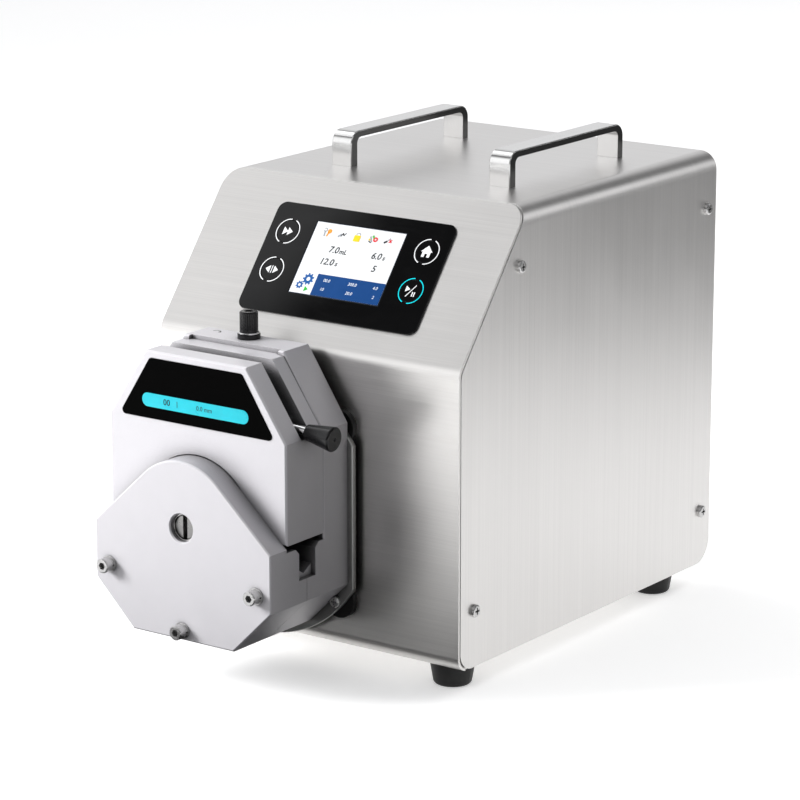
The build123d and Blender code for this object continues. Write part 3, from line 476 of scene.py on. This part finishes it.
FONT_SIZE = 1.35                             # font size of figures one unit tall
SLANT = 0.15                                 # lean of the screen's figures


def add_prism(mesh, outline, place, low, high):
    """Closed prism over an outline in millimetres, between two heights in metres."""
    rings = []
    for height in (low, high):
        rings.append([mesh.verts.new(place @ Vector((x * MM, y * MM, height))) for x, y in outline])
    count = len(outline)
    mesh.faces.new(list(reversed(rings[0])))
    mesh.faces.new(rings[1])
    for i in range(count):
        j = (i + 1) % count
        mesh.faces.new((rings[0][i], rings[0][j], rings[1][j], rings[1][i]))


def add_figures(mesh, text, x, y, size, bold, place, low, slant):
    """Generic figures centred on x and y, size millimetres tall and thickened by bold millimetres."""
    curve = bpy.data.curves.new("figures", "FONT")
    curve.body = text
    curve.align_x = "CENTER"
    curve.align_y = "CENTER"
    curve.size = size * FONT_SIZE * MM
    curve.extrude = PRINT / 2
    curve.offset = bold * MM
    curve.shear = slant
    curve.resolution_u = 3
    maker = bpy.data.objects.new("figures", curve)
    bpy.context.scene.collection.objects.link(maker)
    bpy.context.view_layer.update()
    shape = bpy.data.meshes.new_from_object(maker.evaluated_get(bpy.context.evaluated_depsgraph_get()))
    shape.transform(place @ Matrix.Translation((x * MM, y * MM, low + PRINT / 2)))
    mesh.from_mesh(shape)
    bpy.data.objects.remove(maker)
    bpy.data.curves.remove(curve)
    bpy.data.meshes.remove(shape)


def finish_mesh(mesh, name, material, body):
    bmesh.ops.recalc_face_normals(mesh, faces=mesh.faces)
    data = bpy.data.meshes.new(name)
    mesh.to_mesh(data)
    mesh.free()
    for polygon in data.polygons:
        polygon.use_smooth = False
    data.materials.append(material)
    made = bpy.data.objects.new(name, data)
    bpy.context.scene.collection.objects.link(made)
    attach(made, body)
    return made


def flat_piece(name, outlines, place, material, body, low=0.0):
    """One printed piece made of flat outlines, from a height in metres over its plane."""
    mesh = bmesh.new()
    for outline in outlines:
        add_prism(mesh, outline, place, low, low + PRINT)
    return finish_mesh(mesh, name, material, body)


def figures_piece(name, figures, outlines, place, material, body, low=0.0, slant=SLANT):
    """One printed piece of figures, each with its text, x, y, size and boldness, and of flat outlines."""
    mesh = bmesh.new()
    for text, x, y, size, bold in figures:
        add_figures(mesh, text, x, y, size, bold, place, low, slant)
    for outline in outlines:
        add_prism(mesh, outline, place, low, low + PRINT)
    return finish_mesh(mesh, name, material, body)


def ring_piece(name, node, profile, material, body):
    """Turned ring round a node's upright axis. profile has radii and heights over its underside, in mm."""
    near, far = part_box(node)
    mid_x = (near.x + far.x) / 2
    mid_y = (near.y + far.y) / 2
    mesh = bmesh.new()
    steps = 48
    loops = []
    for i in range(steps):
        dx, dy = cos(tau * i / steps), sin(tau * i / steps)
        loops.append([mesh.verts.new((mid_x + r * MM * dx, mid_y + r * MM * dy, near.z + z * MM))
                      for r, z in profile])
    for i in range(steps):
        after = loops[(i + 1) % steps]
        for j in range(len(profile)):
            k = (j + 1) % len(profile)
            mesh.faces.new((loops[i][j], after[j], after[k], loops[i][k]))
    return finish_mesh(mesh, name, material, body)


# ---- keys ----

RING_IN = 7.85
RING_OUT = 8.45
BROKEN_RING = [ring_part(0, 0, RING_IN, RING_OUT, 92, 248), ring_part(0, 0, RING_IN, RING_OUT, 272, 428)]

KEY_SIGNS = {
    "key_fast": [triangle(-1.5, 0, 3.6, 5.4), triangle(1.9, 0, 3.6, 5.4)],
    "key_direction": [
        triangle(-3.0, 0, 3.3, 5.0, -1),
        triangle(3.0, 0, 3.3, 5.0),
        rectangle(0, 0, 0.55, 5.0),
    ],
    "key_home": [
        [(-4.1, -0.1), (0, 4.1), (4.1, -0.1), (2.9, -0.1), (2.9, -3.6), (0.9, -3.6),
         (0.9, -1.4), (-0.9, -1.4), (-0.9, -3.6), (-2.9, -3.6), (-2.9, -0.1)],
    ],
    "key_start": [
        triangle(-2.3, 1.0, 3.2, 3.8),
        bar(-2.4, -4.0, 2.6, 4.0, 0.55),
        rectangle(1.7, -2.0, 0.7, 3.0),
        rectangle(3.1, -2.0, 0.7, 3.0),
    ],
}
# painted glow: the keys' printed signs and rings are given a little glow of their own
white_ink_painted_glow = ink("white_ink_painted_glow", (0.85, 0.86, 0.87), glow=0.15)
cyan_ink_painted_glow = ink("cyan_ink_painted_glow", (0.0, 0.66, 0.75), glow=0.25)
for key, shapes in KEY_SIGNS.items():
    flat_piece(key + "_sign", shapes, slope_plane(key), white_ink_painted_glow, key)
    ring_ink_painted_glow = cyan_ink_painted_glow if key == "key_start" else white_ink_painted_glow
    flat_piece(key + "_ring", BROKEN_RING, slope_plane(key), ring_ink_painted_glow, "drive_unit")


# ---- marks and trim on the pump head ----

RING_LOW = 2.65                              # lower end of the bright ring over the knob's underside
RING_HIGH = 3.75
RING_BORE = 5.05
RING_R = 6.3
RING_CHAMFER = 0.25
MARK_X = -26.0                               # turning mark, from the middle of the head
MARK_Y = 1.5                                 # turning mark, from the knob's axis

ring_profile = [
    (RING_BORE, RING_LOW), (RING_R - RING_CHAMFER, RING_LOW), (RING_R, RING_LOW + RING_CHAMFER),
    (RING_R, RING_HIGH - RING_CHAMFER), (RING_R - RING_CHAMFER, RING_HIGH), (RING_BORE, RING_HIGH),
]
ring_piece("knob_ring", "adjusting_knob", ring_profile, looks["bright_rod"], "knob")

head_x = sum(corner.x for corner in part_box("rear_housing")) / 2
top_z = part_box("rear_housing")[1].z
knob_y = sum(corner.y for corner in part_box("adjusting_knob")) / 2
head_top = plane_at(Vector((head_x + MARK_X * MM, knob_y + MARK_Y * MM, top_z)), ACROSS, BACK)
engraved = ink("engraved_mark", (0.05, 0.05, 0.052), rough=0.6)
turn_arrow = [ring_part(0, 0, 2.5, 3.1, 20, 165), triangle(2.9, 0.2, 2.0, 2.2)]
flat_piece("turn_mark", turn_arrow, head_top, engraved, "drive_unit")

dark_ink = ink("stripe_dark", (0.01, 0.03, 0.04))
figures_piece("stripe_figures", [("00", -21.0, 0, 3.8, 0.08), ("0.0 mm", 7.0, 0, 2.9, 0.02)],
              [rectangle(-13.2, 0, 0.45, 3.6)], front_plane("label_stripe"), dark_ink,
              "press_block", slant=0.0)


# ---- screen ----

lcd = slope_plane("lcd_screen")
LCD_W = 65.8
LCD_L = 48.6
BORDER = 0.4
STRIP_W = 0.757 * LCD_W - BORDER             # blue strip at the lower right
STRIP_H = 0.30 * LCD_L - BORDER
BIG = 4.4                                    # heights of the figures
MEDIUM = 3.2
SMALL = 2.1
BOLD = 0.11
PAGE_WHITE = (0.80, 0.81, 0.82)


def spot(u, v):
    """Place on the screen in millimetres from shares of its width and height."""
    return (u - 0.5) * LCD_W, (v - 0.5) * LCD_L


def lit(name, color, glow=0.2):
    return ink(name, color, glow, 0.3)


def screen_piece(name, shapes, material, layer):
    """Printed piece on the screen, a number of ink layers over its glass."""
    flat_piece(name, shapes, lcd, material, "drive_unit", layer * PRINT)


def screen_figures(name, figures, bold, material, layer):
    """Figures on the screen, each with its text, its place in shares and its height."""
    placed = [(text, *spot(u, v), size, bold) for text, u, v, size in figures]
    figures_piece(name, placed, [], lcd, material, "drive_unit", layer * PRINT)


page = rectangle(0, 0, LCD_W - 2 * BORDER, LCD_L - 2 * BORDER)
screen_piece("screen_page", [page], lit("page_white", PAGE_WHITE, 0.1), 0)
strip_x = LCD_W / 2 - BORDER - STRIP_W / 2
strip_y = -LCD_L / 2 + BORDER + STRIP_H / 2
screen_piece("screen_strip", [rectangle(strip_x, strip_y, STRIP_W, STRIP_H)],
             lit("strip_blue", (0.002, 0.05, 0.20), 0.1), 1)

big_gear = spot(0.158, 0.21)
small_gear = spot(0.088, 0.118)
screen_piece("screen_gears", [gear(*big_gear, 4.0, 9), gear(*small_gear, 2.7, 8)],
             lit("gear_blue", (0.01, 0.09, 0.30)), 1)
screen_piece("screen_gear_holes", [disc(*big_gear, 1.3), disc(*small_gear, 0.9)],
             lit("hole_white", PAGE_WHITE, 0.1), 2)
screen_piece("screen_go", [triangle(*spot(0.176, 0.073), 2.8, 3.6)], lit("go_green", (0.02, 0.42, 0.04)), 3)

screen_figures("screen_readouts", [
    ("7.0", 0.30, 0.64, BIG), ("mL", 0.405, 0.628, MEDIUM),
    ("6.0", 0.775, 0.64, BIG), ("s", 0.86, 0.63, MEDIUM),
    ("12.0", 0.275, 0.47, BIG), ("s", 0.385, 0.46, MEDIUM), ("5", 0.80, 0.47, BIG),
], BOLD, lit("readout_black", (0.03, 0.035, 0.04), 0.0), 1)
screen_figures("screen_small_readouts", [
    ("00.0", 0.36, 0.222, SMALL), ("300.0", 0.645, 0.222, SMALL), ("4.0", 0.90, 0.222, SMALL),
    ("10", 0.345, 0.10, SMALL), ("20.0", 0.645, 0.10, SMALL), ("2", 0.915, 0.10, SMALL),
], 0.0, lit("readout_white", (0.8, 0.85, 0.9)), 2)


def icon(number, dx, dy):
    """Place in millimetres from the middle of one of the five icons along the top."""
    x, y = spot(0.15 + 0.1713 * number, 0.862)
    return x + dx, y + dy


# Each colour of the icons: its layer, its ink and its shapes.
ICONS = {
    "orange": (3, lit("icon_orange", (0.85, 0.30, 0.03)), [
        disc(*icon(0, 1.7, 0.9), 1.5),
        bar(*icon(0, 1.3, 0.2), *icon(0, 0.5, -2.6), 1.0),
    ]),
    "grey": (1, lit("icon_grey", (0.33, 0.35, 0.38), 0.1), [
        ring_part(*icon(0, -1.6, 1.6), 0.7, 1.4, 200, 500),
        bar(*icon(0, -1.7, 0.4), *icon(0, -1.2, -2.8), 1.0),
        bar(*icon(1, -2.6, -1.8), *icon(1, -0.4, 0.2), 1.3),
        ring_part(*icon(2, 0.2, 1.1), 1.1, 1.7, 0, 180),
        bar(*icon(3, -2.2, 1.6), *icon(3, -0.2, -2.2), 1.1),
        bar(*icon(4, -0.4, 0.4), *icon(4, 1.2, 2.0), 1.0),
    ]),
    "dark": (2, lit("icon_dark", (0.02, 0.022, 0.026), 0.0), [
        bar(*icon(1, -0.6, -1.4), *icon(1, 0.6, 1.0), 0.6),
        bar(*icon(1, 0.6, 1.0), *icon(1, 1.4, -0.8), 0.6),
        bar(*icon(1, 1.4, -0.8), *icon(1, 2.6, 1.2), 0.6),
        bar(*icon(4, -2.8, -1.4), *icon(4, -0.6, 0.0), 1.3),
        bar(*icon(3, -2.6, -1.6), *icon(3, -0.6, -2.6), 0.7),
    ]),
    "yellow": (4, lit("icon_yellow", (0.86, 0.58, 0.02)), [
        rounded(*icon(2, 0, -1.2), 4.6, 4.2, 0.6),
        bar(*icon(3, -2.8, -0.4), *icon(3, -1.6, -0.9), 1.0),
    ]),
    "red": (5, lit("icon_red", (0.72, 0.02, 0.03)), [
        ring_part(*icon(3, 2.0, -0.2), 0.7, 1.6, 0, 359),
        bar(*icon(4, 0.6, -0.9), *icon(4, 2.4, 1.1), 0.6),
        bar(*icon(4, 0.6, 1.1), *icon(4, 2.4, -0.9), 0.6),
    ]),
    "green": (6, lit("icon_green", (0.12, 0.42, 0.10)), [
        bar(*icon(3, -0.6, 2.2), *icon(3, 0.7, 0.4), 1.2),
    ]),
}
for color, (layer, material, shapes) in ICONS.items():
    screen_piece("screen_icons_" + color, shapes, material, layer)


# ---- stage: floor and cards ----

FLOOR = 40.0                                 # half the floor's width
CARD_Z = 1 * MM


def stage_sheet(name, corners, material):
    data = bpy.data.meshes.new(name)
    data.from_pydata(corners, [], [tuple(range(len(corners)))])
    data.materials.append(material)
    made = bpy.data.objects.new(name, data)
    bpy.context.scene.collection.objects.link(made)
    return made


def floor_material():
    """White paper with a glow of its own, so that it stays white beside the pump."""
    s = Surface("floor_paper", (0.90, 0.90, 0.90), 0.0, 0.7)
    s.shade(s.noise(3.0), 0.99, 1.01)
    s.set("Specular IOR Level", 0.0)
    s.set("Emission Color", (1.0, 1.0, 1.0, 1))
    s.set("Emission Strength", 0.42)
    return s.done()


def reflected_card(name, corners, grey):
    """Card on the floor that only shiny surfaces see, as a studio photographer would lay one out."""
    s = Surface(name + "_cloth", (grey, grey, grey), 0.0, 0.9)
    s.shade(s.noise(200.0), 0.9, 1.1)
    card = stage_sheet(name, [(x, y, CARD_Z) for x, y in corners], s.done())
    card.visible_camera = False
    card.visible_diffuse = False
    card.visible_shadow = False


floor_corners = [(-FLOOR, -FLOOR, 0), (FLOOR, -FLOOR, 0), (FLOOR, FLOOR, 0), (-FLOOR, FLOOR, 0)]
floor = stage_sheet("floor", floor_corners, floor_material())
floor.visible_diffuse = False

# The first two lie before the casing's front, the others out to its right and left, reaching behind it.
reflected_card("dark_card", [(-0.9, -0.30), (0.5, -0.30), (0.5, -0.11), (-0.9, -0.11)], 0.03)
reflected_card("grey_card", [(-2.0, -2.0), (0.5, -2.0), (0.5, -0.30), (-2.0, -0.30)], 0.84)
reflected_card("side_card", [(2.68, -1.0), (5.7, 3.2), (-0.3, 6.2), (-1.72, 2.38)], 0.19)
reflected_card("left_card", [(-5.0, -0.05), (-0.25, -0.05), (-0.25, 5.0), (-5.0, 5.0)], 0.30)


# ---- stage: lights, surroundings and camera ----

CENTRE = Vector((0, 0, 0.14))                # the point that the lights look at
CAMERA_AT = Vector((1.223, -1.70715, 0.683))
CAMERA_AZIMUTH = radians(35.70)
CAMERA_ELEVATION = radians(14.45)
LENS = 158.8
SENSOR = 36.0


def softbox(name, direction, distance, size, power):
    """Soft rectangular light that looks at the pump from a direction and doesn't show in reflections."""
    light = bpy.data.lights.new(name, "AREA")
    light.shape = "RECTANGLE"
    light.size, light.size_y = size
    light.energy = power
    made = bpy.data.objects.new(name, light)
    way = Vector(direction).normalized()
    made.location = CENTRE + way * distance
    made.rotation_euler = way.to_track_quat("Z", "Y").to_euler()
    made.visible_glossy = False
    bpy.context.scene.collection.objects.link(made)


def studio_world(base, patches):
    """Surroundings of a base brightness with patches, which are added to it and fade out at their rims."""
    made = bpy.data.worlds.new("studio")
    made.use_nodes = True
    tree = made.node_tree
    background = tree.nodes["Background"]
    background.inputs["Color"].default_value = (0.98, 0.985, 1.0, 1)
    direction = tree.nodes.new("ShaderNodeTexCoord").outputs["Generated"]
    total = None
    for way, inner, outer, level in patches:
        dot = tree.nodes.new("ShaderNodeVectorMath")
        dot.operation = "DOT_PRODUCT"
        dot.inputs[1].default_value = Vector(way).normalized()
        tree.links.new(direction, dot.inputs[0])
        ramp = tree.nodes.new("ShaderNodeMapRange")
        ramp.interpolation_type = "SMOOTHSTEP"
        ramp.inputs["From Min"].default_value = cos(radians(outer))
        ramp.inputs["From Max"].default_value = cos(radians(inner))
        ramp.inputs["To Min"].default_value = 0.0
        ramp.inputs["To Max"].default_value = level
        tree.links.new(dot.outputs["Value"], ramp.inputs["Value"])
        add = tree.nodes.new("ShaderNodeMath")
        add.operation = "ADD"
        add.inputs[0].default_value = base
        if total is not None:
            tree.links.new(total, add.inputs[0])
        tree.links.new(ramp.outputs["Result"], add.inputs[1])
        total = add.outputs[0]
    tree.links.new(total, background.inputs["Strength"])
    bpy.context.scene.world = made


softbox("key_light", (-0.74, -0.66, 0.34), 1.4, (0.5, 0.45), 22.5)
softbox("top_light", (0.30, 0.60, 0.65), 2.4, (1.6, 1.6), 20)

# Direction, inner and outer angle from it in degrees, and added brightness.
studio_world(0.12, [
    ((-0.805, -0.086, 0.587), 21.9, 23.1, 1.05),    # left: its sharp rim crosses the display overlay
    ((-0.20, -0.75, 0.63), 6, 26, 1.00),            # high in front
    ((-0.62, -0.72, 0.22), 6, 32, 1.15),            # low in front on the left
    ((-0.60, 0.78, 0.22), 8, 45, 0.70),             # low behind on the left, for the top sheet
    ((-0.565, 0.18, 0.81), 3, 13, 1.60),            # small and high on the left
    ((0.58, -0.45, 0.68), 8, 26, 0.60),             # high in front on the right
    ((0.56, 0.76, 0.32), 3, 17, 1.2),               # small and low behind on the right
    ((0.0, 0.1, 1.0), 20, 45, 0.25),                # overhead
])
bpy.context.scene.view_settings.view_transform = "Standard"

camera_data = bpy.data.cameras.new("camera")
camera_data.lens = LENS
camera_data.sensor_width = SENSOR
camera_data.clip_end = 60
camera = bpy.data.objects.new("camera", camera_data)
camera.location = CAMERA_AT
camera.rotation_euler = (pi / 2 - CAMERA_ELEVATION, 0, CAMERA_AZIMUTH)
bpy.context.scene.collection.objects.link(camera)
bpy.context.scene.camera = camera
